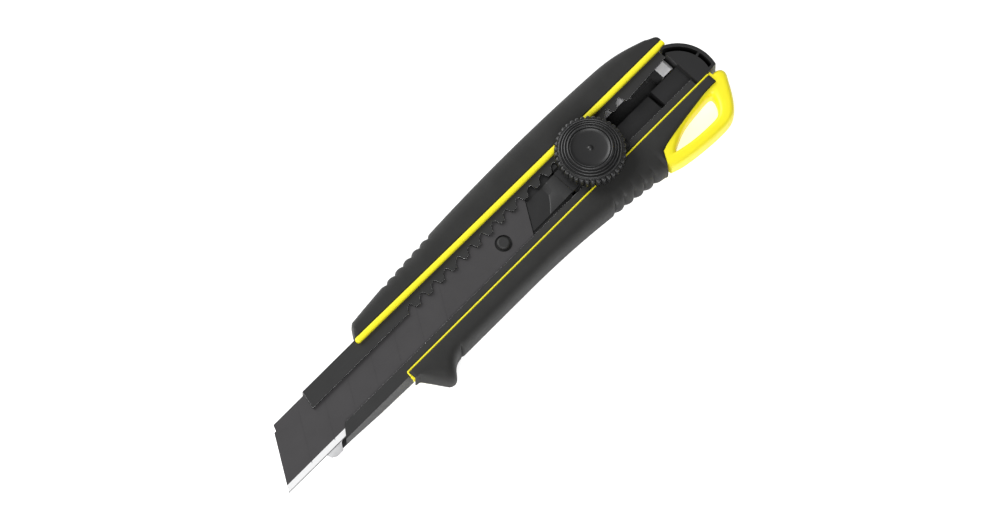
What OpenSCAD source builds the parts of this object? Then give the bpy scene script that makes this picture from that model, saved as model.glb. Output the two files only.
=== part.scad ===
// Snap-off utility knife with a dial lock.
// X runs forward to the blade's tip, Y towards the cutting edge, Z up out of the dial.
// The knife lies on its back: Z = 0 is the flat back pad, and Y = 0 is the blade's centre line.

/* [Blade] */
// Width from the spine to the cutting edge
blade_w = 18; // [17.6:0.1:18]
// Length of the spine, and of the edge
blade_len = 106; // [102:1:108]
// Thickness of the blade
blade_t = 0.5; // [0.4:0.1:0.5]
// Width of the ground bevel
bevel_w = 2; // [1:0.5:3]
// Angle between the snap lines and the edge
snap_angle = 57; // [55:1:60]
// Distance between snap lines
snap_pitch = 9.8; // [8:0.1:10]
// Number of snap lines
snap_count = 7; // [4:1:7]
// Where the tip stands
tip_x = 92.5; // [88:0.5:92.5]

/* [Blade holder] */
// Sheet thickness of the steel channel
sheet = 0.7; // [0.6:0.1:0.7]
// Height of the flanges' top faces
flange_z = 13.6; // [13.6:0.1:13.6]
// Distance between rack notches
rack_pitch = 5.15; // [5:0.05:5.2]
// Number of notches in the working stretch of the rack
rack_count = 13; // [10:1:13]

/* [Handle] */
// Thickness of the core's side walls outside the channel
core_wall = 1.7; // [1.5:0.1:1.8]
// Height of the two beads beside the channel
bead_z = 15; // [14.9:0.1:15.2]
// Thickness of the back pad
pad_t = 1.5; // [1:0.1:1.5]
// Furthest reach of the spine-side grip
upper_reach = 18.5; // [17:0.5:19]
// Reach of the edge-side grip in front of its rear ribs
lower_reach = 15; // [14.5:0.5:15.5]
// Reach of the finger guard
guard_reach = 19.9; // [18:0.1:21]

/* [Dial] */
// Radius over the knurled rim
dial_r = 10.8; // [10:0.1:11]
// Number of finger scallops round the rim
scallops = 36; // [24:2:40]
// Position of the dial's axis along the knife
dial_x = -45; // [-45:0.5:-44]
// Lift of the clamp for one turn of the dial, the pitch of an M5 thread
thread_pitch = 0.8; // [0.8:0.1:0.8]

/* [Hidden] */
$fn = 64;
eps = 0.01;
through = 60;

// Heights
gap = 0.1;
under_z = flange_z - sheet;
blade_z = under_z - gap - blade_t;
floor_z = 4.2;
wall_top = 14.3;
bearing_z = 15.2;
dial_z = 15.9;
grip_foot_z = 0.3;
loop_z = 7;
grip_top_z = 15;

// Widths from the centre line
half_blade = blade_w / 2;
half_in = half_blade + gap;
half_out = half_in + sheet;
half_slot = half_out + gap;
half_core = half_slot + core_wall;

// Places along the knife
front_x = 42;
spine_front_x = 42.5;
edge_front_x = 41.5;
lip_z = 11;
pad_front_x = 34.5;
rear_x = -84;
tail_x = -59.4;
cap_side_y = 8.4;
axis_y = 1;
pin_x = -7.6;
spine_edge_y = -4;
rear_edge_y = -3.3;
cut_edge_y = 6;
tooth_tip_y = -3.7;
notch_first_x = 26.4;
park_x = -58.5;
lock_x = notch_first_x - 12 * rack_pitch;
rivet_xs = [30, -12, -52];
snap_run = blade_w / tan(snap_angle);

// The rear arc of the end cap
cap_centre = [-79.5, 4.5];
cap_r = 13;

// Lower side of the steel channel, seen from the side: it grows deeper from the nose to the handle
belly = [[74, 8.1], [66, 7.6], [54, 5.3], [42, floor_z], [rear_x + 0.5, floor_z]];

// ---------- shared shapes ----------

// A wall of points moved up by dz
function raised(points, dz) = [for (p = points) [p[0], p[1] + dz]];

// A strip of even height from a line of points
function strip(points, height) =
  concat(points, [for (i = [len(points) - 1:-1:0]) [points[i][0], points[i][1] + height]]);

// Extrudes an X-Z outline along Y from y0 to y1
module along_y(y0, y1) {
  translate([0, y1, 0]) rotate([90, 0, 0]) linear_extrude(y1 - y0) children();
}

// A solid through sections of equal length, one at each X; each section is closed and fans from its first point
module loft(xs, sections) {
  n = len(sections[0]);
  last = len(xs) - 1;
  polyhedron(
    points = [for (i = [0:last], p = sections[i]) [xs[i], p[0], p[1]]],
    faces = concat(
      [[for (j = [0:n - 1]) j]],
      [for (i = [0:last - 1], j = [0:n - 1])
        [i * n + j, (i + 1) * n + j, (i + 1) * n + (j + 1) % n]],
      [for (i = [0:last - 1], j = [0:n - 1])
        [i * n + j, (i + 1) * n + (j + 1) % n, i * n + (j + 1) % n]],
      [[for (j = [n - 1:-1:0]) last * n + j]]
    )
  );
}

module rivet(x, y, z0, z1, r, head_r, head_t) {
  translate([x, y, z0]) cylinder(r = r, h = z1 - z0);
  translate([x, y, z1 - head_t]) cylinder(r = head_r, h = head_t);
}

// ---------- outlines of the handle ----------

// Centre of the spine-side bead, which bows a little along the knife
function bead_y(x) = -8.15 - 0.000055 * pow(x + 70, 2);
bead_half = 0.95;
bead_front_x = 44.3;
bead_rear_x = -86.4;
edge_bead = [8.45, 9.05];

// A rib groove of the given depth and half width at x
function groove(x, centres, depth, half) =
  max([for (c = centres) depth * max(0, 1 - pow((x - c) / half, 2))]);

front_ribs = [for (i = [0:5]) 25.8 - 3.8 * i];
rear_ribs = [for (i = [0:4]) -39.9 - 3.65 * i];

// Reach of the spine-side grip: a slanted front, a long bow and a rounded rear shoulder
function upper_out(x) =
  x > 41.5 ? 14.9 - (x - 41.5) * 1.4 :
  upper_reach - 0.00078 * pow(x + 29, 2)
    - (x < -66 ? 0.0063 * pow(-66 - x, 2.2) : 0)
    - groove(x, front_ribs, 0.9, 0.9);

// Reach of the edge-side grip: finger guard, straight belly, rear ribs and the long tail over the loop
function lower_out(x) =
  x > 34.5 ? 10.5 + (40.5 - x) * 1.47 :
  x > 31.5 ? guard_reach - 0.25 * pow(x - 33, 2) :
  x > 25 ? lower_reach + (guard_reach - 0.56 - lower_reach) * pow((x - 25) / 6.5, 2) :
  x > -5 ? lower_reach - groove(x, [24.4], 0.9, 1) :
  x > -58.6 ? lower_reach + 0.0018 * pow(-5 - x, 2) - groove(x, rear_ribs, 1.1, 0.9) :
  x > -61.3 ? 15.8 + (x + 61.3) * 1.7 :
  15.8 - 4.3 * pow((-61.3 - x) / 26.4, 0.7);

// Where the spine-side grip starts: it wraps a little round the core's front and rear
function upper_in(x) = x > spine_front_x + 0.1 ? 10 : x < rear_x - 0.08 ? 9.2 : half_core;

// The grips' feet: the undersides rise towards the front
function foot_z(x) = x > 28 ? grip_foot_z + 7.7 * pow((x - 28) / 14, 1.2) : grip_foot_z;

// Half of a rounded side: from the foot at the core, round the widest point, to the top at the core
function side(base, out, foot, middle, top) = [for (a = [-90:15:90])
  let (c = pow(abs(cos(a)), 0.62), s = sign(a) * pow(abs(sin(a)), 0.75))
  [base + (out - base) * c, middle + (a < 0 ? middle - foot : top - middle) * s]];

function mirrored(points) = [for (p = points) [-p[0], p[1]]];

// A grip's section: it laps over the core's wall and stops at a bead
function grip_section(base, out, lap, foot, middle) = concat(
  [[base, wall_top]],
  side(base, max(out, base + 0.3), foot, middle, grip_top_z),
  [[lap, grip_top_z - 0.2], [lap, wall_top]]
);

upper_xs = concat([44.4, 43.6, 42.65, 42.6, 41.5, 38, 34, 31, 28], [for (x = [27:-0.4:6]) x],
  [for (x = [4:-6:-68]) x], [-73, -76, -79, -81, -83, rear_x - 0.05, rear_x - 0.1, -85, -86, -86.6]);
lower_xs = concat([edge_front_x - 0.05, 39.5, 38, 36.3, 34.5, 33.7, 33, 32.2, 31.5, 30.3, 29, 27.5, 26, 25.3],
  [for (x = [25:-0.25:23.5]) x], [for (x = [20:-6:-34]) x], [for (x = [-37:-0.5:-58]) x], [-58.6],
  [tail_x, -60.3, -61.3, -64, -68, -73, -78, -83, -86, -88.2]);

// ---------- handle ----------

loop_outer = [[-57, 19.9], [-61, 21.6], [-66, 22.7], [-72, 23.4], [-77, 23.7], [-81.4, 23.6], [-84.8, 22.5],
  [-88, 19.3], [-91, 14.8], [-92.7, 11.8], [-92.3, 10.2], [-90.6, 9.1], [-84, 9.1], [-57, 10.5]];
loop_hole = [[-64.4, 17.9], [-71.5, 14.8], [-79, 13.7], [-83.4, 13.5], [-84.2, 14.8], [-83.2, 17.2],
  [-81.4, 19.1], [-79, 19.8], [-72, 19.6], [-66.5, 18.8]];
inlay = concat([for (x = [-58.6, tail_x, -60.3, -61.3, -64, -68, -73, -78, -83, -86, -88.2])
  [x, max(lower_out(x), half_core + 0.3) + 0.05]], [[-88.5, 9], [-58.6, 9]]);

module spine_bead() {
  xs = concat([for (x = [bead_front_x:-8:-84]) x], [bead_rear_x]);
  for (layer = [[bead_half, bead_z - 0.4], [bead_half - 0.5, bead_z]])
    translate([0, 0, flange_z + gap]) linear_extrude(layer[1] - flange_z - gap)
      polygon(concat([for (x = xs) [x, bead_y(x) - layer[0]]],
        [for (i = [len(xs) - 1:-1:0]) [xs[i], bead_y(xs[i]) + layer[0]]]));
  translate([bead_front_x, bead_y(bead_front_x), flange_z + gap]) {
    cylinder(r = bead_half, h = bead_z - 0.4 - flange_z - gap);
    cylinder(r = bead_half - 0.5, h = bead_z - flange_z - gap);
  }
}

module edge_bead() {
  translate([-88, edge_bead[0], flange_z + gap])
    cube([front_x + 88, edge_bead[1] - edge_bead[0], bead_z - 0.1 - flange_z - gap]);
  // the bead turns down in front of the grip
  translate([edge_front_x - 0.02, 0, 0]) rotate([90, 0, 90]) linear_extrude(front_x + 0.02 - edge_front_x)
    polygon([[edge_bead[0], bead_z - 0.1], [9.9, bead_z - 0.3], [10.9, bead_z - 1.1], [11.6, lip_z + 0.9],
      [11.6, lip_z], [11, lip_z], [11, 12.3], [10.3, 13.9], [edge_bead[0], flange_z + gap]]);
}

module lanyard_loop() {
  difference() {
    translate([0, 0, loop_z]) linear_extrude(7.3) polygon(loop_outer);
    translate([0, 0, -1]) linear_extrude(through) polygon(loop_hole);
    translate([0, 0, 12.5]) linear_extrude(5) polygon(inlay);
    translate([tail_x - 0.05, -20, -1]) cube([30, 60, 40]);
  }
  // web that joins the loop to the side wall
  translate([-84, half_core - 1, loop_z]) cube([tail_x + 84 - 0.05, 1.3, 12.5 - loop_z]);
}

module core_outline() {
  polygon([[spine_front_x, -half_core], [edge_front_x, half_core], [rear_x - 5, half_core], [rear_x - 5, cap_side_y],
    [rear_x, cap_side_y], [rear_x, -half_core + 1.8], [rear_x + 1, -half_core]]);
}

module core() {
  color("gold") difference() {
    union() {
      translate([0, 0, pad_t]) linear_extrude(wall_top - pad_t) core_outline();
      spine_bead();
      edge_bead();
      lanyard_loop();
    }
    // channel for the blade holder
    translate([rear_x - 1, -half_slot, floor_z - gap / 2])
      cube([140, 2 * half_slot, flange_z + gap - floor_z + gap / 2]);
    // opening between the lips
    translate([0, 0, floor_z]) linear_extrude(20) polygon(concat(
      [for (x = [60:-12:-96]) [x, bead_y(min(x, bead_front_x)) + bead_half]], [[-100, edge_bead[0]], [60, edge_bead[0]]]));
    for (x = rivet_xs) {
      translate([x, 0, -1]) cylinder(r = 1.55, h = 10);
      translate([x, 0, 0]) cylinder(r = 3.2, h = 2.4);
    }
    // the front's underside slants back
    along_y(-30, 30) polygon([[50, lip_z], [edge_front_x - 0.1, lip_z], [pad_front_x + 0.5, pad_t - 0.1],
      [pad_front_x + 0.5, -1], [50, -1]]);
    // seat of the end cap
    translate([cap_centre[0], cap_centre[1], pad_t - 1]) difference() {
      cylinder(r = cap_r + 0.15, h = 30);
      translate([rear_x - cap_centre[0] + eps, -30, -1]) cube([60, 60, 40]);
      translate([-40, cap_side_y + 0.1 - cap_centre[1], -1]) cube([60, 60, 40]);
    }
  }
}

module upper_grip() {
  color([0.2, 0.2, 0.2]) loft(upper_xs, [for (x = upper_xs)
    mirrored(grip_section(upper_in(x), upper_out(x), -(bead_y(min(x, bead_front_x)) - bead_half) + 0.03, foot_z(x), 8.5))]);
}

module lower_grip() {
  color([0.2, 0.2, 0.2]) loft([for (i = [len(lower_xs) - 1:-1:0]) lower_xs[i]],
    [for (i = [len(lower_xs) - 1:-1:0]) let (x = lower_xs[i], tail = x < -58.7)
      grip_section(half_core, lower_out(x), edge_bead[1] + 0.03, tail ? 12.6 : foot_z(x), tail ? 13.9 : 8.2)]);
}

module back_pad() {
  color([0.16, 0.16, 0.16]) {
    translate([rear_x + 0.6, -half_core + 0.2, 0.5])
      cube([pad_front_x - rear_x - 0.6, 2 * half_core - 0.4, pad_t - 0.5]);
    translate([rear_x + 1.6, -half_core + 1.2, 0]) cube([pad_front_x - rear_x - 2.6, 2 * half_core - 2.4, 1]);
  }
}

// ---------- blade holder ----------

// One rack notch, seen from above, from its sloping front side to its steep rear side
function notch(x) = [for (p = [[1.8, 0], [0.8, -1.6], [-0.6, -2.2], [-1.2, -1.65], [-1.4, -0.7], [-1.8, 0]])
  [x + p[0], tooth_tip_y + p[1]]];

leaf_rivet_at = [-72, -7.2];
rack_line = concat(
  [[90, spine_edge_y], [notch_first_x + 1.9, spine_edge_y]],
  [for (i = [0:rack_count - 1], p = notch(notch_first_x - i * rack_pitch)) p],
  [for (x = [park_x, park_x - 5.1], p = notch(x)) p],
  [[park_x - 7, rear_edge_y], [-95, rear_edge_y - 1.9]]
);

module blade_holder() {
  color([0.24, 0.24, 0.24]) difference() {
    along_y(-half_out, half_out) polygon(concat([[rear_x + 0.5, flange_z], [74, flange_z]], belly));
    along_y(-half_in, half_in)
      polygon(concat([[rear_x - 5, under_z], [80, under_z], [80, 8.1 + sheet]], raised(belly, sheet),
        [[rear_x - 5, floor_z + sheet]]));
    translate([0, 0, flange_z - 1.5]) linear_extrude(4) polygon(concat(rack_line, [[-95, cut_edge_y], [90, cut_edge_y]]));
    // front of the back plate
    linear_extrude(40) polygon([[72, half_out + 1], [72, 8.4], [67.3, -half_out], [67.3, -12], [90, -12], [90, 12]]);
    // slanted fronts of the two flanges and side walls
    translate([0, 0, 8.7]) linear_extrude(20) polygon([[70.6, spine_edge_y], [67.3, -half_out], [67.3, -12],
      [90, -12], [90, 12], [68.9, 12], [68.9, half_out], [65.7, cut_edge_y - 0.1], [70.6, 2]]);
    for (x = rivet_xs) translate([x, 0, 0]) cylinder(r = 1.55, h = 8);
    translate([50.5, 0, 0]) cylinder(r = 1.3, h = 8);
    translate([leaf_rivet_at[0], leaf_rivet_at[1], 0]) cylinder(r = 1.25, h = 8);
  }
}

module holder_rivets() {
  color("silver") for (x = rivet_xs) {
    rivet(x, 0, pad_t + 0.1, floor_z + sheet + 0.6, 1.5, 3, 0.6);
    translate([x, 0, pad_t + 0.1]) cylinder(r = 3, h = 0.7);
  }
}

module blade_spring() {
  line = [[47.5, 5.55 + 0.1], [54, 6.05 + 0.1], [58.5, 7.6], [63, 11.6], [66.5, 11.6], [70, 9.1], [75.8, 9.1]];
  color("silver") intersection() {
    difference() {
      along_y(-7, half_out + 1) polygon(strip(line, 0.4));
      translate([50.5, 0, 0]) cylinder(r = 1.3, h = 12);
    }
    linear_extrude(30) polygon([[46, -7], [46, 7], [66, 8.2], [69.6, 8.4], [70.6, half_out], [71, half_out + 0.9],
      [73.8, half_out + 0.9], [75.2, half_out], [75.8, 8], [73, -7]]);
  }
}

module spring_rivet() {
  color("silver") rivet(50.5, 0, 5.1, 7.1, 1.25, 2, 0.6);
}

// Leaf on the holder's floor: a raised pad under the last notches, and a catch beside the cap's tongue
module tail_leaf() {
  line = [[-57.5, 9.8], [-66, 9.8], [-69.2, 4.95], [-76.8, 4.95], [-79.9, 10.1], [-82.6, 10.1], [-83.4, 9.5]];
  color("silver") difference() {
    along_y(-8.8, -1.3) polygon(concat(line, [[-83.6, 9.9], [-82.8, 10.5], [-79.4, 10.5], [-76.3, 5.4],
      [-69.4, 5.4], [-66.2, 10.2], [-57.5, 10.2]]));
    translate([-77.5, -4.8, 0]) cube([30, 10, 20]);
    translate([leaf_rivet_at[0], leaf_rivet_at[1], 0]) cylinder(r = 1.25, h = 8);
  }
}

module leaf_rivet() {
  color("silver") rivet(leaf_rivet_at[0], leaf_rivet_at[1], floor_z, 5.9, 1.2, 1.6, 0.48);
}

// ---------- end cap ----------

module cap_sector(r, h) {
  intersection() {
    translate(cap_centre) cylinder(r = r, h = h);
    translate([-100, -7.1, 0]) cube([100 + rear_x - 0.15, 7.1 + cap_side_y - 0.1, h]);
  }
}

module end_cap() {
  color([0.15, 0.15, 0.15]) {
    difference() {
      union() {
        translate([0, 0, pad_t + 0.1]) cap_sector(cap_r, 13.2);
        translate([0, 0, pad_t + 0.1]) difference() {
          cap_sector(cap_r, 13.7);
          translate(cap_centre) cylinder(r = cap_r - 1.1, h = 20);
        }
      }
      // the two arc slots that take the blade's tip when a segment is snapped
      difference() {
        translate([cap_centre[0], cap_centre[1], 6]) cylinder(r = cap_r - 1.1, h = 20);
        translate([cap_centre[0], cap_centre[1], 0]) cylinder(r = cap_r - 2.3, h = 40);
        translate(cap_centre) rotate(12) translate([-30, -0.35, 0]) cube([30, 0.7, 40]);
        translate([-100, cap_side_y - 1, 0]) cube([40, 20, 40]);
        translate([-100, -30, 0]) cube([40, 23.7, 40]);
      }
    }
    // tongue that slides into the holder beside the tail leaf
    translate([rear_x - 1, -0.8, floor_z + sheet + 0.15]) cube([11.6, 9, 5.35]);
    difference() {
      translate([rear_x + 5, -0.8, floor_z + sheet + 0.15]) cube([22.6, 9, 4.15]);
      translate([rear_x + 10.6, -1, floor_z + sheet + 0.9]) cube([1.3, 7.2, 10]);
    }
  }
}

// ---------- blade ----------

module blade() {
  mid = blade_z + blade_t / 2;
  top = blade_z + blade_t;
  color([0.3, 0.3, 0.31]) difference() {
    intersection() {
      translate([tip_x + 5, 0, 0]) rotate([0, -90, 0]) linear_extrude(blade_len + 40)
        polygon([[blade_z, -half_blade], [blade_z, half_blade - bevel_w], [mid - 0.02, half_blade],
          [mid + 0.02, half_blade], [top, half_blade - bevel_w], [top, -half_blade]]);
      linear_extrude(30) polygon([[tip_x, half_blade], [tip_x - snap_run, -half_blade],
        [tip_x - snap_run - blade_len, -half_blade], [tip_x - blade_len, half_blade]]);
    }
    translate([pin_x, axis_y, 0]) cylinder(r = 2.65, h = 30);
    // half notch left by the last snap
    linear_extrude(30) translate([tip_x - snap_run, -half_blade])
      polygon([[3, 1.9], [0.5, 1.9], [-0.8, -1], [3, -1]]);
    // snap lines
    for (i = [1:snap_count]) translate([tip_x - i * snap_pitch, half_blade, top - 0.05])
      linear_extrude(1) polygon([[0.1, 1], [-snap_run - 0.9, -blade_w - 1], [-snap_run - 1.1, -blade_w - 1], [-0.1, 1]]);
  }
}

// ---------- slider and clamp ----------

tongue_z = blade_z - gap - 1.2;
plate_x = [-54.2, -33.1];
slider_rear_x = -56.6;
clamp_lift = thread_pitch;
clamp_top = under_z - 0.05 - clamp_lift;
block_z = under_z + 0.05;

module slider() {
  slant = 1 / tan(snap_angle);
  blade_end_x = tip_x - blade_len;
  color([0.2, 0.2, 0.2]) difference() {
    union() {
      // guide plate in front of the clamp, with the tongue under the blade
      translate([plate_x[1], -half_in + 0.3, tongue_z]) cube([30.1, 2 * half_in - 0.6, 1.2]);
      // rear guide plate
      translate([slider_rear_x, -half_in + 0.3, tongue_z])
        cube([plate_x[0] - slider_rear_x, 2 * half_in - 0.6, 1.2]);
      // block behind the blade
      translate([0, 0, tongue_z + 0.6]) linear_extrude(under_z - 0.3 - tongue_z - 0.6)
        polygon([[blade_end_x - 0.4 - slant * 4.2, 4.8], [blade_end_x - 0.4 - slant * 12, -3], [-34, -3], [-34, 4.8]]);
      along_y(-3, 4.8) polygon([[-27.5, tongue_z + 0.6], [-27.5, under_z - 0.4], [-32, flange_z - 0.1],
        [-34.2, flange_z - 0.1], [-34.2, tongue_z + 0.6]]);
      // bridge over the clamp plate
      translate([slider_rear_x, -3, block_z]) cube([-33.5 - slider_rear_x, 8, bearing_z - block_z - 1]);
      translate([slider_rear_x, -3, tongue_z + 0.6])
        cube([plate_x[0] - slider_rear_x, 8, bearing_z - 1 - tongue_z - 0.6]);
      // shoulders that bear on the flanges
      translate([-55.5, -5.4, flange_z + 0.1]) cube([18.3, 12.8, bearing_z - flange_z - 0.1]);
    }
    translate([dial_x, axis_y, 0]) cylinder(r = 2.75, h = 30);
    translate([dial_x, axis_y, 0]) cylinder(r = 3.9, h = 13.5);
    translate([pin_x, axis_y, 0]) cylinder(r = 1.75, h = 30);
    translate([-29, axis_y, 0]) cylinder(r = 1.3, h = tongue_z + 1.3);
  }
}

module blade_pin() {
  color([0.25, 0.25, 0.25]) {
    rivet(pin_x, axis_y, tongue_z - 0.6, blade_z + 1.1, 1.7, 2, 1.1 + gap - 0.02);
    translate([pin_x, axis_y, tongue_z - 0.6]) cylinder(r = 2.6, h = 0.58);
    translate([pin_x, axis_y, blade_z + 1.1]) cylinder(r1 = 2, r2 = 1.55, h = 0.35);
  }
}

module slider_spring() {
  line = [[-31.5, tongue_z - 0.42], [-26, tongue_z - 0.42], [-21, 6.1], [-18, 6.1], [-13, 9.6], [-11.5, 9.6]];
  color("silver") difference() {
    along_y(-4, 6) polygon(strip(line, 0.4));
    translate([-29, axis_y, 0]) cylinder(r = 1.3, h = 30);
  }
}

module slider_rivet() {
  color("silver") {
    translate([-29, axis_y, tongue_z - 0.9]) cylinder(r = 2, h = 0.46);
    translate([-29, axis_y, tongue_z - 0.9]) cylinder(r = 1.25, h = 2);
  }
}

module clamp_plate() {
  color([0.6, 0.6, 0.6]) difference() {
    union() {
      translate([-53.6, -half_in + 0.6, clamp_top - 1.5]) cube([19, 2 * half_in - 1.2, 1.5]);
      // lock tooth that rises into a rack notch
      translate([lock_x, 0, clamp_top - 0.5]) linear_extrude(0.5 + flange_z - clamp_lift - clamp_top)
        polygon([[1, -4.1], [0.4, -5.2], [-0.5, -5.5], [-0.9, -5.2], [-1, -4.1]]);
    }
    translate([dial_x - 2.55, axis_y - 2.55, 0]) cube([5.1, 5.1, 30]);
  }
}

module clamp_bolt() {
  color("silver") difference() {
    union() {
      translate([dial_x, axis_y, clamp_top - 2.7]) cylinder(r = 4.5, h = 1.2);
      translate([dial_x - 2.5, axis_y - 2.5, clamp_top - 1.6]) cube([5, 5, 1.5]);
      translate([dial_x, axis_y, clamp_top - 1.6]) cylinder(r = 2.5, h = 20.15 - clamp_top + 1.6);
    }
    translate([dial_x, axis_y, 19.45]) difference() {
      cylinder(r = 4, h = 0.4);
      translate([0, 0, -1]) cylinder(r = 2.1, h = 3);
    }
  }
}

module release_spring() {
  color("silver") translate([dial_x, axis_y, 0]) rotate_extrude()
    polygon([[3.4, clamp_top + 0.02], [3.8, clamp_top + 0.02], [3.15, 13.48], [2.75, 13.48]]);
}

// ---------- dial ----------

module washer() {
  color("silver") translate([dial_x, axis_y, bearing_z + 0.02]) difference() {
    cylinder(r = 6.5, h = 0.4);
    translate([0, 0, -1]) cylinder(r = 2.75, h = 3);
  }
}

module dial() {
  crown_z = dial_z + 4.4;
  profile = [[5, 19.4], [4.2, 19.4], [4.2, bearing_z + 0.5], [7, bearing_z + 0.5], [7, dial_z], [dial_r - 0.3, dial_z],
    [dial_r, dial_z + 0.3], [dial_r, crown_z - 0.4], [dial_r - 0.6, crown_z], [9.5, crown_z + 0.2], [9.3, crown_z],
    [8.95, crown_z + 0.5], [8.4, crown_z + 0.7], [8.2, crown_z + 0.5], [7.9, crown_z + 1.2], [7.4, crown_z + 1.3],
    [7.2, crown_z + 1.2], [6.9, crown_z + 1.7], [6.5, crown_z + 1.75], [6.3, crown_z + 1.55], [6.3, 21.05], [5, 21.05]];
  color([0.18, 0.18, 0.18]) translate([dial_x, axis_y, 0]) difference() {
    rotate_extrude() polygon(profile);
    for (i = [0:scallops - 1]) rotate(i * 360 / scallops)
      translate([dial_r + 0.42, 0, dial_z - 1]) cylinder(r = 0.85, h = 8);
  }
}

module dial_insert() {
  color("goldenrod") translate([dial_x, axis_y, bearing_z + 0.5]) difference() {
    cylinder(r = 4.18, h = 19.38 - bearing_z - 0.5);
    translate([0, 0, -1]) cylinder(r = 2.55, h = 10);
  }
}

module dial_clip() {
  color("silver") translate([dial_x, axis_y, 19.47]) difference() {
    cylinder(r = 4.2, h = 0.36);
    translate([0, 0, -1]) cylinder(r = 2.13, h = 3);
    translate([0, -1.6, -1]) cube([6, 3.2, 3]);
  }
}

module dial_cap() {
  color([0.2, 0.2, 0.2]) translate([dial_x, axis_y, 21.07]) {
    cylinder(r = 6.25, h = 0.6);
    cylinder(r = 0.5, h = 0.75);
  }
}

core();
upper_grip();
lower_grip();
back_pad();
blade_holder();
holder_rivets();
blade_spring();
spring_rivet();
tail_leaf();
leaf_rivet();
end_cap();
blade();
slider();
blade_pin();
slider_spring();
slider_rivet();
clamp_plate();
clamp_bolt();
release_spring();
washer();
dial();
dial_insert();
dial_clip();
dial_cap();
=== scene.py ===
import math

import bmesh
import bpy
from bpy.props import FloatProperty, FloatVectorProperty, IntProperty, PointerProperty
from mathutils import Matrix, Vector


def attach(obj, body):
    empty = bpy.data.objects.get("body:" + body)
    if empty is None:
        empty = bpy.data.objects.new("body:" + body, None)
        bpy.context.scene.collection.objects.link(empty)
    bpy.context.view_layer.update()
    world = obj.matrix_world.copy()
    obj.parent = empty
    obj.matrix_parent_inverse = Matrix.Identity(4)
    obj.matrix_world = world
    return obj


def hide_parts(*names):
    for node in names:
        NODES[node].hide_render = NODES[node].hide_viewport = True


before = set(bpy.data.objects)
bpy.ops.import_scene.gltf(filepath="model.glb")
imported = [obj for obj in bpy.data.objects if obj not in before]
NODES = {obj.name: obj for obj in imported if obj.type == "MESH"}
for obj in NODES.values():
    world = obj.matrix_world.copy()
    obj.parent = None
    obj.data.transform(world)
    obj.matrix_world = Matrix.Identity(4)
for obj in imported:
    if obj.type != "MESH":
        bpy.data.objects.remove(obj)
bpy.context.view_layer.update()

bl_info = {
    "name": "Snap-off knife",
    "version": (1, 0, 0),
    "blender": (4, 5, 0),
    "location": "View3D > Sidebar > Knife",
    "description": "Builds a dial-lock snap-off knife around its frame",
    "category": "Object",
}

MM = 0.001

# Heights and places in millimetres, in the frame's directions:
# X runs forward to the blade's tip, Y towards the cutting edge, Z up out of the dial.
HALF_CORE = 11.6
WALL_TOP = 14.3
BEAD_HALF = 0.95
BEAD_FRONT = 44.3
BEAD_REAR = -86.4
BEAD_TOP = 15.0
LINE = (8.45, 9.05)
LINE_TOP = 14.9
LIP = 13.72
GRIP_TOP = 15.0
GRIP_FOOT = 0.3
SPINE_FRONT = 42.5
EDGE_FRONT = 41.5
REAR = -84.0
TAIL_X = -59.4
DIAL_AXIS = (-45.0, 1.0)
CAP_CENTRE = (-79.5, 4.5)
CAP_SEAT_RADIUS = 13.15
CAP_SLOT_RADII = (10.6, 11.95)
CAP_SLOT_HEIGHTS = (5.5, 13.4)
TRENCH_HALF = 9.9
TRENCH_HEIGHTS = (4.15, 13.7)
FLANGE_GAP = (-7.2, 7.0)
FLANGE_LOW = 12.9
REAR_NOTCHES_X = -62
# Stretch of the floor leaf given the black channel finish as painted shade
LEAF_SHADE = (-79.2, -68)
GROUND_FROM = 7.0
HONED_FROM = 8.75
LOOP_HEIGHTS = (7.0, 14.3)
LOOP_MIDDLE = (-76.5, 16.7)
DIAL_HEIGHTS = (15.9, 20.3)
SPINE_WAIST = 8.5
EDGE_WAIST = 8.2
TAIL_FOOT = 12.6
TAIL_WAIST = 13.9
LAP_GAP = 0.03
FRONT_RIBS = [25.8 - 3.8 * i for i in range(6)]
REAR_RIBS = [-39.9 - 3.65 * i for i in range(5)]
GUARD_RIB = [24.4]

# Lengths that reach past the moulded core, for shapes that only cut it
AHEAD = 60
BEHIND = -100
ASIDE = 30
ABOVE = 30

# Where the camera looks, in millimetres, how it is turned in degrees, and how far off it stands in metres
LOOK_AT = (-2.5, 4.4, 13.7)
CAMERA_TURN = 46.45
CAMERA_LIFT = 70.4
CAMERA_REACH = 3.0
CAMERA_LENS = 364.0

# Lamps: name, place in metres, width in metres, power in watts
LAMPS = [
    ("key", (0.3, -1.3, 0.95), 1.3, 27.0),
    ("fill", (0.75, 0.6, 1.1), 1.0, 17.0),
]


# ---------------------------------------------------------------- settings

class KnifeSizes(bpy.types.PropertyGroup):
    """Sizes a maker would change."""

    dial_radius: FloatProperty(
        name="Dial radius", description="Radius over the dial's bumps", default=10.8 * MM,
        unit="LENGTH", precision=4)
    dial_bumps: IntProperty(
        name="Dial bumps", description="Number of bumps round the dial's rim", default=38,
        min=20, max=48)
    rib_depth: FloatProperty(
        name="Rib depth", description="Depth of the grips' ribs", default=1.05 * MM,
        unit="LENGTH", precision=5)
    edge_round: FloatProperty(
        name="Edge rounding", description="Rounding of sheet-metal edges", default=0.14 * MM,
        unit="LENGTH", precision=5)


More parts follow.
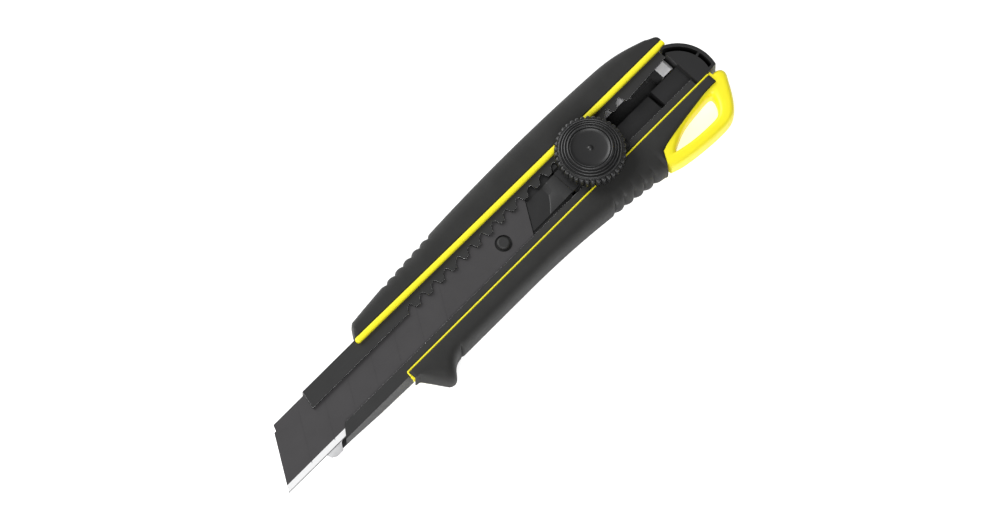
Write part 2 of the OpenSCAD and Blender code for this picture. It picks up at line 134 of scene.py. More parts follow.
class KnifeColours(bpy.types.PropertyGroup):
    """Colours a maker would change."""

    yellow: FloatVectorProperty(
        name="Frame", description="Moulded frame", subtype="COLOR", size=3, default=(0.96, 0.85, 0.02))
    rubber: FloatVectorProperty(
        name="Grips", description="Soft grips", subtype="COLOR", size=3,
        default=(0.019, 0.019, 0.0183))
    coat: FloatVectorProperty(
        name="Channel", description="Coated steel channel", subtype="COLOR", size=3,
        default=(0.028, 0.028, 0.0282))
    blade: FloatVectorProperty(
        name="Blade", description="Blackened blade steel", subtype="COLOR", size=3,
        default=(0.057, 0.055, 0.057))
    plastic: FloatVectorProperty(
        name="Dial", description="Black moulded plastic", subtype="COLOR", size=3,
        default=(0.011, 0.011, 0.0114))
    floor: FloatVectorProperty(
        name="Floor", description="Plain pale floor", subtype="COLOR", size=3, default=(0.9, 0.9, 0.9))


# ---------------------------------------------------------------- shading

class Signal:
    """A node's output socket; arithmetic on it adds Math nodes."""

    def __init__(self, finish, socket):
        self.finish = finish
        self.socket = socket

    def calc(self, operation, other):
        return self.finish.node("ShaderNodeMath", {"operation": operation}, {0: self, 1: other})

    def reflected(self, operation, other):
        return self.finish.node("ShaderNodeMath", {"operation": operation}, {0: other, 1: self})

    def __add__(self, other):
        return self.calc("ADD", other)

    def __radd__(self, other):
        return self.reflected("ADD", other)

    def __sub__(self, other):
        return self.calc("SUBTRACT", other)

    def __rsub__(self, other):
        return self.reflected("SUBTRACT", other)

    def __mul__(self, other):
        return self.calc("MULTIPLY", other)

    def __rmul__(self, other):
        return self.reflected("MULTIPLY", other)


class Finish:
    """One material, its nodes and what is worked out in them."""

    def __init__(self, name):
        self.material = bpy.data.materials.new(name)
        self.material.use_nodes = True
        self.tree = self.material.node_tree
        self.tree.nodes.clear()
        place = self.node("ShaderNodeTexCoord", out="Object")
        self.place = self.node(
            "ShaderNodeVectorMath", {"operation": "SCALE"}, {0: place, "Scale": 1 / MM})

    def node(self, kind, settings=None, sockets=None, out=0):
        made = self.tree.nodes.new(kind)
        for key, value in (settings or {}).items():
            if key == "stops":
                ramp = made.color_ramp
                while len(ramp.elements) < len(value):
                    ramp.elements.new(0.5)
                for stop, (position, level) in zip(ramp.elements, value):
                    stop.position = position
                    stop.color = (level, level, level, 1)
            else:
                setattr(made, key, value)
        for key, value in (sockets or {}).items():
            if isinstance(value, Signal):
                self.tree.links.new(value.socket, made.inputs[key])
            else:
                made.inputs[key].default_value = value
        return Signal(self, made.outputs[out])

    def stretched(self, x, y, z):
        """Position in millimetres, scaled along each axis."""
        return self.node("ShaderNodeVectorMath", {"operation": "MULTIPLY"}, {0: self.place, 1: (x, y, z)})

    def noise(self, scale, detail=2.0, rough=0.5, at=None):
        """Noise from 0 to 1; scale is how many waves it has in a millimetre."""
        return self.node(
            "ShaderNodeTexNoise", {"noise_dimensions": "3D"},
            {"Vector": at or self.place, "Scale": scale, "Detail": detail, "Roughness": rough})

    def cells(self, scale, at=None):
        """Distance to the nearest of scattered points."""
        return self.node(
            "ShaderNodeTexVoronoi", {"feature": "F1"}, {"Vector": at or self.place, "Scale": scale})

    def ramp(self, value, stops):
        """Grey levels at the stops, blended between them."""
        return self.node("ShaderNodeValToRGB", {"stops": stops}, {0: value})

    def edges(self, start, end):
        """0 on flat stretches, 1 on outer edges."""
        bend = self.node("ShaderNodeNewGeometry", out="Pointiness")
        return self.ramp(bend, [(start, 0.0), (end, 1.0)])

    def blend(self, share, first, second):
        """Colour from first to second."""
        return self.node(
            "ShaderNodeMix", {"data_type": "RGBA", "clamp_factor": True},
            {0: share, 6: rgba(first), 7: rgba(second)}, out=2)

    def bump(self, height, strength, distance):
        """A bumped normal; distance is in millimetres."""
        return self.node(
            "ShaderNodeBump", {},
            {"Height": height, "Strength": strength, "Distance": distance * MM}, out="Normal")

    def surface(self, colour, rough, normal=None, metal=0.0, **constants):
        """Ends the material; a constant's name is its socket's, with _ for each space."""
        sockets = {"Base Color": rgba(colour), "Roughness": rough, "Metallic": metal}
        if normal is not None:
            sockets["Normal"] = normal
        for key, value in constants.items():
            sockets[key.replace("_", " ")] = value
        shader = self.node("ShaderNodeBsdfPrincipled", {}, sockets, out="BSDF")
        end = self.tree.nodes.new("ShaderNodeOutputMaterial")
        self.tree.links.new(shader.socket, end.inputs["Surface"])
        return self.material


def rgba(colour):
    """A colour with alpha; signals pass through."""
    if isinstance(colour, Signal):
        return colour
    return (*colour[:3], 1.0)


def lighter(colour, factor):
    """A colour made lighter, or darker by a factor under 1."""
    return tuple(min(1.0, c * factor) for c in colour[:3])


def yellow_finish(colours):
    f = Finish("yellow_moulding")
    tone = f.noise(0.09, 3.0)
    grain = f.noise(9.0, 3.0, 0.6)
    scratch = f.noise(1.0, 2.0, 0.7, f.stretched(0.25, 4.0, 4.0))
    marks = f.ramp(scratch, [(0.62, 0.0), (0.7, 1.0)])
    base = f.blend(tone, colours.yellow, lighter(colours.yellow, 0.9))
    base = f.blend(marks * 0.25, base, (0.9, 0.74, 0.05))
    rough = 0.36 + grain * 0.12 + marks * 0.15
    normal = f.bump(grain * 0.6 + marks * 0.3, 0.25, 0.02)
    return f.surface(base, rough, normal, Subsurface_Weight=0.12, Subsurface_Scale=1.5 * MM,
                     Subsurface_Radius=(1.0, 0.7, 0.2))


def rubber_finish(colours):
    f = Finish("soft_rubber")
    grain = f.noise(5.0, 4.0, 0.65)
    pits = f.cells(3.2)
    dust = f.ramp(f.noise(0.12, 5.0, 0.65), [(0.42, 0.0), (0.75, 1.0)])
    rub = f.edges(0.51, 0.58)
    base = f.blend(dust * 0.5, colours.rubber, lighter(colours.rubber, 1.5))
    base = f.blend(rub * 0.35, base, lighter(colours.rubber, 1.9))
    rough = 0.62 + grain * 0.16 - rub * 0.12 - dust * 0.05
    normal = f.bump(grain * 0.6 + pits * 0.4, 0.35, 0.05)
    return f.surface(base, rough, normal, Specular_IOR_Level=0.3, Sheen_Weight=0.03, Sheen_Roughness=0.5)


def coat_finish(colours):
    f = Finish("black_coated_steel")
    grain = f.noise(14.0, 2.0, 0.6)
    haze = f.noise(0.18, 4.0, 0.6)
    drag = f.noise(1.0, 3.0, 0.7, f.stretched(0.12, 5.0, 5.0))
    scuffs = f.ramp(drag, [(0.58, 0.0), (0.72, 1.0)])
    base = f.blend(haze, lighter(colours.coat, 0.9), lighter(colours.coat, 1.12))
    base = f.blend(scuffs * 0.12, base, (0.1, 0.1, 0.1))
    rough = 0.5 + haze * 0.04 + scuffs * 0.05
    normal = f.bump(grain * 0.5 + scuffs * 0.5, 0.2, 0.015)
    return f.surface(base, rough, normal, Specular_IOR_Level=0.28)


def wear_and_highlight_finish():
    """Bare steel where the coating is rubbed off the rack's edges; its near-white tone is mostly a painted
    highlight.
    """
    f = Finish("rubbed_edge_painted_highlight")
    rub = f.ramp(f.noise(0.9, 4.0, 0.6), [(0.25, 0.0), (0.5, 1.0)])
    base = f.blend(rub, (0.3, 0.3, 0.3), (0.95, 0.95, 0.95))
    return f.surface(base, 0.36 - rub * 0.12, f.bump(rub, 0.1, 0.01), metal=0.3)


def painted_shade_finish():
    """Near-black painted shade on the rack's cut edge and in the end cap's slots."""
    f = Finish("painted_shade_faces")
    grain = f.noise(6.0, 3.0, 0.6)
    base = f.blend(grain, (0.002, 0.002, 0.002), (0.007, 0.007, 0.007))
    return f.surface(base, 0.6 + grain * 0.2, f.bump(grain, 0.2, 0.01), Specular_IOR_Level=0.15)


def blade_finish(colours):
    f = Finish("blackened_blade")
    lines = f.noise(1.0, 3.0, 0.75, f.stretched(0.03, 9.0, 9.0))
    cloud = f.noise(0.14, 4.0, 0.6)
    grain = f.noise(16.0, 2.0, 0.6)
    mottle = cloud * 0.6 + lines * 0.4
    base = f.blend(mottle, lighter(colours.blade, 0.85), lighter(colours.blade, 1.2))
    rough = 0.46 + cloud * 0.1 + lines * 0.06
    normal = f.bump(lines * 0.6 + grain * 0.4, 0.12, 0.01)
    return f.surface(base, rough, normal, metal=0.25, Specular_IOR_Level=0.3)


# Bare ground steel, lighter than the blackened blade; its near-white base with little metal is a painted
# reflection of bright surroundings.
def bevel_reflection_finish():
    f = Finish("bevel_painted_reflection")
    lines = f.noise(1.0, 3.0, 0.8, f.stretched(14.0, 0.5, 0.5))
    haze = f.noise(0.3, 3.0)
    base = f.blend(lines, (0.86, 0.86, 0.87), (0.98, 0.98, 0.98))
    rough = 0.26 + lines * 0.14 + haze * 0.05
    normal = f.bump(lines, 0.18, 0.008)
    return f.surface(base, rough, normal, metal=0.25)


# The thin strip along the very edge, where the blade is honed; its dark tone is painted shade for the edge's
# dark line.
def edge_line_shade_finish():
    f = Finish("edge_line_painted_shade")
    lines = f.noise(1.0, 2.0, 0.7, f.stretched(10.0, 0.6, 0.6))
    base = f.blend(lines, (0.2, 0.2, 0.2), (0.34, 0.34, 0.34))
    return f.surface(base, 0.3 + lines * 0.1, f.bump(lines, 0.1, 0.005), metal=0.9)


# Bare spring steel, lighter than the coat; its light base with little metal is a painted reflection of
# bright surroundings.
def steel_reflection_finish():
    f = Finish("painted_reflection_steel")
    lines = f.noise(1.0, 3.0, 0.7, f.stretched(0.3, 8.0, 8.0))
    haze = f.noise(0.4, 3.0)
    base = f.blend(haze, (0.72, 0.72, 0.73), (0.88, 0.88, 0.89))
    rough = 0.2 + lines * 0.12 + haze * 0.08
    normal = f.bump(lines, 0.15, 0.008)
    return f.surface(base, rough, normal, metal=0.2)


def plastic_finish(colours):
    f = Finish("black_moulding")
    grain = f.noise(7.0, 3.0, 0.6)
    spark = f.cells(6.0)
    flow = f.noise(0.25, 3.0)
    rub = f.edges(0.52, 0.6)
    base = f.blend(flow, lighter(colours.plastic, 0.85), lighter(colours.plastic, 1.25))
    base = f.blend(rub * 0.3, base, lighter(colours.plastic, 2.5))
    rough = 0.38 + grain * 0.14 - rub * 0.06
    normal = f.bump(grain * 0.5 + spark * 0.5, 0.28, 0.03)
    return f.surface(base, rough, normal, Specular_IOR_Level=0.55)


def brass_finish():
    f = Finish("turned_brass")
    rings = f.noise(1.0, 2.0, 0.6, f.stretched(0.6, 0.6, 12.0))
    haze = f.noise(0.5, 3.0)
    base = f.blend(haze, (0.72, 0.5, 0.18), (0.82, 0.62, 0.27))
    return f.surface(base, 0.24 + rings * 0.14, f.bump(rings, 0.15, 0.01), metal=1.0)


def floor_finish(colours):
    f = Finish("pale_floor")
    tone = f.noise(0.01, 3.0)
    base = f.blend(tone, colours.floor, lighter(colours.floor, 0.99))
    rough = 0.85 + tone * 0.05
    return f.surface(base, rough, Specular_IOR_Level=0.1, Emission_Color=(1.0, 1.0, 1.0, 1.0),
                     Emission_Strength=0.6)


finishes = {}


def finish(name):
    """The named finish, made once."""
    if name not in finishes:
        colours = bpy.context.scene.knife_colours
        makers = {
            "yellow": lambda: yellow_finish(colours),
            "rubber": lambda: rubber_finish(colours),
            "coat": lambda: coat_finish(colours),
            "blade": lambda: blade_finish(colours),
            "wear_and_highlight": wear_and_highlight_finish,
            "painted_shade": painted_shade_finish,
            "ground": bevel_reflection_finish,
            "edge_line_shade": edge_line_shade_finish,
            "steel_reflection": steel_reflection_finish,
            "plastic": lambda: plastic_finish(colours),
            "brass": brass_finish,
            "floor": lambda: floor_finish(colours),
        }
        finishes[name] = makers[name]()
    return finishes[name]


# ---------------------------------------------------------------- mesh tools

def piece(name, bm, look, body, stands_for=(), smooth=35.0, extra=()):
    """Turns mesh code in millimetres into a piece that rides on a body."""
    bmesh.ops.recalc_face_normals(bm, faces=bm.faces)
    bmesh.ops.scale(bm, vec=(MM, MM, MM), verts=bm.verts)
    mesh = bpy.data.meshes.new(name)
    bm.to_mesh(mesh)
    bm.free()
    mesh.materials.append(finish(look))
    for other in extra:
        mesh.materials.append(finish(other))
    mesh.shade_smooth()
    mesh.set_sharp_from_angle(angle=math.radians(smooth))
    made = bpy.data.objects.new(name, mesh)
    bpy.context.scene.collection.objects.link(made)
    made.modifiers.new("flat faces", "WEIGHTED_NORMAL").keep_sharp = True
    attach(made, body)
    if stands_for:
        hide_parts(*stands_for)


def loft(rings, caps=True):
    """A closed skin through rings of equal length."""
    bm = bmesh.new()
    rows = [[bm.verts.new(p) for p in ring] for ring in rings]
    count = len(rows[0])
    for a, b in zip(rows, rows[1:]):
        for j in range(count):
            k = (j + 1) % count
            bm.faces.new((a[j], a[k], b[k], b[j]))
    if caps:
        bm.faces.new(rows[0])
        bm.faces.new(rows[-1])
    return bm


def ring_loft(rings):
    """A skin whose last ring joins the first one again."""
    bm = loft(rings, caps=False)
    bm.verts.ensure_lookup_table()
    count = len(rings[0])
    last = (len(rings) - 1) * count
    for j in range(count):
        k = (j + 1) % count
        bm.faces.new((bm.verts[last + j], bm.verts[last + k], bm.verts[k], bm.verts[j]))
    return bm


def prism(outline, low, high):
    """An outline raised from one height to another."""
    return loft([[(x, y, low) for x, y in outline], [(x, y, high) for x, y in outline]])


def box(rear, front, right, left, low, high):
    """A plain block between two x, two y and two z."""
    return prism([(rear, right), (front, right), (front, left), (rear, left)], low, high)


def soften(bm, width, segments=2, angle=30.0):
    """Rounds the edges that are sharper than an angle."""
    limit = math.radians(angle)
    sharp = [e for e in bm.edges if len(e.link_faces) == 2 and e.calc_face_angle(0.0) > limit]
    bmesh.ops.bevel(bm, geom=sharp, offset=width, segments=segments, profile=0.5, affect="EDGES",
                    clamp_overlap=True)


def from_frame(node):
    """The frame's own solid in millimetres, its flat faces whole again."""
    bm = bmesh.new()
    bm.from_mesh(NODES[node].data)
    bmesh.ops.scale(bm, vec=(1 / MM, 1 / MM, 1 / MM), verts=bm.verts)
    bmesh.ops.remove_doubles(bm, verts=bm.verts, dist=0.0005)
    bmesh.ops.dissolve_limit(bm, angle_limit=math.radians(0.5), verts=bm.verts, edges=bm.edges)
    return bm


def eased(node, name, look, body, width, segments=2):
    """A frame solid with its edges rounded, standing for its node."""
    bm = from_frame(node)
    soften(bm, width, segments)
    piece(name, bm, look, body, (node,))


def turned(profile, centre, steps, radius):
    """A turned ring; radius(r, z, angle) may change each point."""
    rings = []
    for i in range(steps):
        a = 2 * math.pi * i / steps
        ring = []
        for r, z in profile:
            reach = radius(r, z, a)
            ring.append((centre[0] + reach * math.cos(a), centre[1] + reach * math.sin(a), z))
        rings.append(ring)
    return ring_loft(rings)


def disc(profile, centre, steps):
    """A turned solid whose profile starts and ends on the axis."""
    bm = bmesh.new()
    foot = bm.verts.new((centre[0], centre[1], profile[0][1]))
    head = bm.verts.new((centre[0], centre[1], profile[-1][1]))
    rows = []
    for r, z in profile[1:-1]:
        row = []
        for i in range(steps):
            a = 2 * math.pi * i / steps
            row.append(bm.verts.new((centre[0] + r * math.cos(a), centre[1] + r * math.sin(a), z)))
        rows.append(row)
    for i in range(steps):
        k = (i + 1) % steps
        bm.faces.new((foot, rows[0][k], rows[0][i]))
        bm.faces.new((head, rows[-1][i], rows[-1][k]))
        for a, b in zip(rows, rows[1:]):
            bm.faces.new((a[i], a[k], b[k], b[i]))
    return bm


def joined(*parts):
    """Several solids in one mesh."""
    whole = bmesh.new()
    for bm in parts:
        mesh = bpy.data.meshes.new("part")
        bm.to_mesh(mesh)
        bm.free()
        whole.from_mesh(mesh)
        bpy.data.meshes.remove(mesh)
    return whole


def carved(bm, *cutters, union=False):
    """A solid with others cut out of it, or added to it."""
    objects = []
    for part in (bm, *cutters):
        bmesh.ops.recalc_face_normals(part, faces=part.faces)
        mesh = bpy.data.meshes.new("carving")
        part.to_mesh(mesh)
        part.free()
        made = bpy.data.objects.new("carving", mesh)
        bpy.context.scene.collection.objects.link(made)
        objects.append(made)
    for cutter in objects[1:]:
        step = objects[0].modifiers.new("cut", "BOOLEAN")
        step.operation = "UNION" if union else "DIFFERENCE"
        step.solver = "EXACT"
        step.object = cutter
    graph = bpy.context.evaluated_depsgraph_get()
    result = bmesh.new()
    result.from_mesh(objects[0].evaluated_get(graph).to_mesh())
    for made in objects:
        mesh = made.data
        bpy.data.objects.remove(made)
        bpy.data.meshes.remove(mesh)
    return result


def spline(points, per_span, closed=True):
    """A smooth line through points."""
    count = len(points)
    spans = count if closed else count - 1
    line = []
    for i in range(spans):
        near = [(i + k) % count if closed else min(max(i + k, 0), count - 1) for k in (-1, 0, 1, 2)]
        quad = [points[k] for k in near]
        for s in range(per_span):
            t = s / per_span
            line.append(tuple(
                0.5 * (2 * b + (c - a) * t + (2 * a - 5 * b + 4 * c - d) * t * t
                       + (3 * b - a - 3 * c + d) * t ** 3)
                for a, b, c, d in zip(*quad)))
    if not closed:
        line.append(tuple(points[-1]))
    return line


# ---------------------------------------------------------------- handle outlines

def bead_y(x):
    """The bead's middle line, which bows outwards towards the front."""
    straight, bow, bow_from = -8.15, 0.000055, -70
    return straight - bow * (min(x, BEAD_FRONT) - bow_from) ** 2


def rib(x, centres, depth, half):
    """How deep the valleys at these centres cut in at x; they are sharp, with rounded ribs between."""
    sharpness = 1.8
    return max(depth * max(0.0, 1 - abs(x - c) / half) ** sharpness for c in centres)


def upper_out(x, depth):
    """How far the spine-side grip reaches out at x, with ribs of this depth."""
    slant_from, slant = 41.5, 1.4
    if x > slant_from:
        return 14.9 - (x - slant_from) * slant
    widest, widest_x, bow = 18.5, -29, 0.00078
    reach = widest - bow * (x - widest_x) ** 2
    tail_from, tail_bow = -66, 0.0063
    if x < tail_from:
        reach -= tail_bow * (tail_from - x) ** 2.2
    return reach - rib(x, FRONT_RIBS, depth, 1.7)


def lower_out(x, depth):
    """How far the edge-side grip reaches out at x: guard, plain run, rear ribs and tail."""
    guard_front, guard_rear, guard_foot = 34.5, 31.5, 25
    belly, belly_from = 15, -5
    tail_reach, tail_from = 15.8, -61.3
    if x > guard_front:
        return 10.5 + (40.5 - x) * 1.47
    if x > guard_rear:
        return 19.9 - 0.25 * (x - 33) ** 2
    if x > guard_foot:
        return belly + 4.34 * ((x - guard_foot) / (guard_rear - guard_foot)) ** 2
    if x > belly_from:
        return belly - rib(x, GUARD_RIB, depth, 1.0)
    if x > TAIL_X + 0.8:
        return belly + 0.0018 * (belly_from - x) ** 2 - rib(x, REAR_RIBS, depth * 1.2, 1.6)
    if x > tail_from:
        return tail_reach + (x - tail_from) * 1.7
    return tail_reach - 4.3 * ((tail_from - x) / 26.4) ** 0.7


def upper_in(x):
    """The spine-side grip's inner side, which wraps a little round the core's front and rear."""
    front_wrap, rear_wrap = 10.0, 9.2
    if x > SPINE_FRONT + 0.1:
        return front_wrap
    if x < REAR - 0.08:
        return rear_wrap
    return HALF_CORE - 1.8 * min(1.0, max(0.0, REAR + 1 - x))


def foot_z(x):
    """The grips' undersides, which rise towards the front."""
    rise_from, rise_run, rise = 28, 14, 7.7
    if x <= rise_from:
        return GRIP_FOOT
    return GRIP_FOOT + rise * ((x - rise_from) / rise_run) ** 1.2


def grip_ring(x, base, out, cut, lap, foot, waist, inset, sign):
    """A grip's section at x: up the core's wall, round the outside and back.

    The ribs' cut is deepest at the waist's height and fades above and below it.
    """
    out = max(out - inset, base + 0.25)
    foot = foot + inset
    top = GRIP_TOP - inset
    bulge = 0.62 - 0.125 * (HALF_CORE - base)
    flatness = 0.75
    arc_steps = 24
    points = [(base, WALL_TOP - inset)]
    for i in range(arc_steps + 1):
        a = math.radians(-90 + 180 / arc_steps * i)
        c = abs(math.cos(a)) ** bulge
        s = math.copysign(abs(math.sin(a)) ** flatness, a)
        height = waist - foot if a < 0 else top - waist
        points.append((base + (out - base) * c - cut * c ** 4, waist + height * s))
    points.append((lap + 0.25 + inset * 0.3, top - 0.02))
    points.append((lap + inset * 0.3, top - 0.25))
    points.append((lap + inset * 0.3, WALL_TOP - inset))
    return [(x, sign * y, z) for y, z in points]


def crossing(line, middle, angle):
    """Where a ray from the middle crosses a closed line."""
    ray = (math.cos(angle), math.sin(angle))
    best, spot = 0.0, middle
    for (ax, ay), (bx, by) in zip(line, line[1:] + line[:1]):
        dx, dy = bx - ax, by - ay
        turn = ray[0] * dy - ray[1] * dx
        if abs(turn) < 1e-9:
            continue
        ox, oy = ax - middle[0], ay - middle[1]
        run = (ox * dy - oy * dx) / turn
        share = (ox * ray[1] - oy * ray[0]) / turn
        if run > best and -1e-6 <= share <= 1 + 1e-6:
            best, spot = run, (middle[0] + ray[0] * run, middle[1] + ray[1] * run)
    return spot


def squared(wave):
    """A sine or cosine scaled to 0 to 1 that lingers at both ends, so that a section has full corners."""
    return math.copysign(abs(wave) ** 0.5, wave) / 2 + 0.5


def inclusive(start, end, step):
    """Evenly spaced places from start to end, both of them in it."""
    count = max(1, round(abs(end - start) / step))
    return [start + (end - start) * i / count for i in range(count + 1)]


# ---------------------------------------------------------------- operators

class KNIFE_OT_stage(bpy.types.Operator):
    """Floor, lights and camera"""

    bl_idname = "knife.stage"
    bl_label = "Stage"

    def execute(self, context):
        scene = context.scene
        scene.view_settings.view_transform = "Standard"
        self.camera(scene)
        self.floor(scene)
        self.world(scene)
        self.lamps(scene)
        return {"FINISHED"}

    def camera(self, scene):
        turn = math.radians(CAMERA_TURN)
        lift = math.radians(CAMERA_LIFT)
        level = math.cos(lift)
        back = Vector((level * math.sin(turn), level * math.cos(turn), math.sin(lift)))
        camera = bpy.data.objects.new("camera", bpy.data.cameras.new("camera"))
        camera.data.lens = CAMERA_LENS
        camera.data.clip_start = 0.01
        camera.data.clip_end = 20.0
        camera.location = Vector(LOOK_AT) * MM + back * CAMERA_REACH
        camera.rotation_mode = "QUATERNION"
        camera.rotation_quaternion = (-back).to_track_quat("-Z", "Y")
        scene.collection.objects.link(camera)
        scene.camera = camera

    def floor(self, scene):
        bm = bmesh.new()
        bmesh.ops.create_grid(bm, x_segments=8, y_segments=8, size=3.0)
        mesh = bpy.data.meshes.new("floor")
        bm.to_mesh(mesh)
        bm.free()
        mesh.materials.append(finish("floor"))
        floor = bpy.data.objects.new("floor", mesh)
        floor.location.z = -0.2 * MM
        scene.collection.objects.link(floor)

    def world(self, scene):
        world = bpy.data.worlds.new("studio")
        world.use_nodes = True
        background = world.node_tree.nodes["Background"]
        background.inputs["Color"].default_value = (1.0, 1.0, 1.0, 1.0)
        background.inputs["Strength"].default_value = 0.18
        scene.world = world

    def lamps(self, scene):
        for name, place, size, power in LAMPS:
            light = bpy.data.lights.new(name, "AREA")
            light.shape = "DISK"
            light.size = size
            light.energy = power
            lamp = bpy.data.objects.new(name, light)
            lamp.location = place
            lamp.rotation_mode = "QUATERNION"
            beam = Vector(LOOK_AT) * MM - Vector(place)
            lamp.rotation_quaternion = beam.to_track_quat("-Z", "Y")
            scene.collection.objects.link(lamp)


class KNIFE_OT_grips(bpy.types.Operator):
    """The two soft grips and the back pad"""

    bl_idname = "knife.grips"
    bl_label = "Grips"

    def execute(self, context):
        depth = context.scene.knife_sizes.rib_depth / MM
        self.spine_side(depth)
        self.edge_side(depth)
        eased("back_pad", "pad_on_back", "rubber", "handle", 0.35, 3)
        return {"FINISHED"}

    def spine_side(self, depth):
        """The spine-side grip; each station is a place on x and how far the section shrinks there."""
        nose = [(44.4, 0.7), (44.25, 0.4), (44.0, 0.15), (43.5, 0.0), (42.65, 0.0), (42.6, 0.0)]
        run = inclusive(42.2, 27.7, 0.8) + inclusive(27.5, 4.7, 0.19) + inclusive(4.0, -72, 1.8)
        run += inclusive(-73, -83.6, 0.7) + [REAR - 0.05, REAR - 0.1]
        tail = [(-84.8, 0.0), (-85.6, 0.0), (-86.1, 0.15), (-86.4, 0.4), (-86.6, 0.9)]
        rings = []
        for x, inset in nose + [(x, 0.0) for x in run] + tail:
            lap = -(bead_y(x) - BEAD_HALF) + LAP_GAP
            plain = upper_out(x, 0)
            cut = plain - upper_out(x, depth)
            rings.append(grip_ring(x, upper_in(x), plain, cut, lap, foot_z(x), SPINE_WAIST, inset, -1))
        piece("grip_spine_side", loft(rings), "rubber", "handle", ("upper_grip",), smooth=40)

    def edge_side(self, depth):
        """The edge-side grip, with its guard, its rear ribs and its tail over the loop."""
        nose = [(EDGE_FRONT - 0.05, 0.5), (EDGE_FRONT - 0.12, 0.3), (EDGE_FRONT - 0.35, 0.1),
                (EDGE_FRONT - 0.7, 0.0)]
        run = inclusive(40.2, 34.9, 0.53) + inclusive(34.5, 26, 0.4) + inclusive(25.6, 23.2, 0.15)
        run += inclusive(22.6, -37.8, 1.8) + inclusive(-38, -58.5, 0.19) + [-58.6]
        tail = [(x, 0.0) for x in [TAIL_X] + inclusive(-60, -87.4, 0.6)]
        tail += [(-87.8, 0.1), (-88.05, 0.3), (-88.2, 0.6)]
        lap = LINE[1] + LAP_GAP
        rings = []
        for x, inset in nose + [(x, 0.0) for x in run]:
            plain = lower_out(x, 0)
            cut = plain - lower_out(x, depth)
            rings.append(grip_ring(x, HALF_CORE, plain, cut, lap, foot_z(x), EDGE_WAIST, inset, 1))
        for x, inset in tail:
            plain = lower_out(x, 0)
            rings.append(grip_ring(x, HALF_CORE, plain, 0.0, lap, TAIL_FOOT, TAIL_WAIST, inset, 1))
        piece("grip_edge_side", loft(rings), "rubber", "handle", ("lower_grip",), smooth=40)


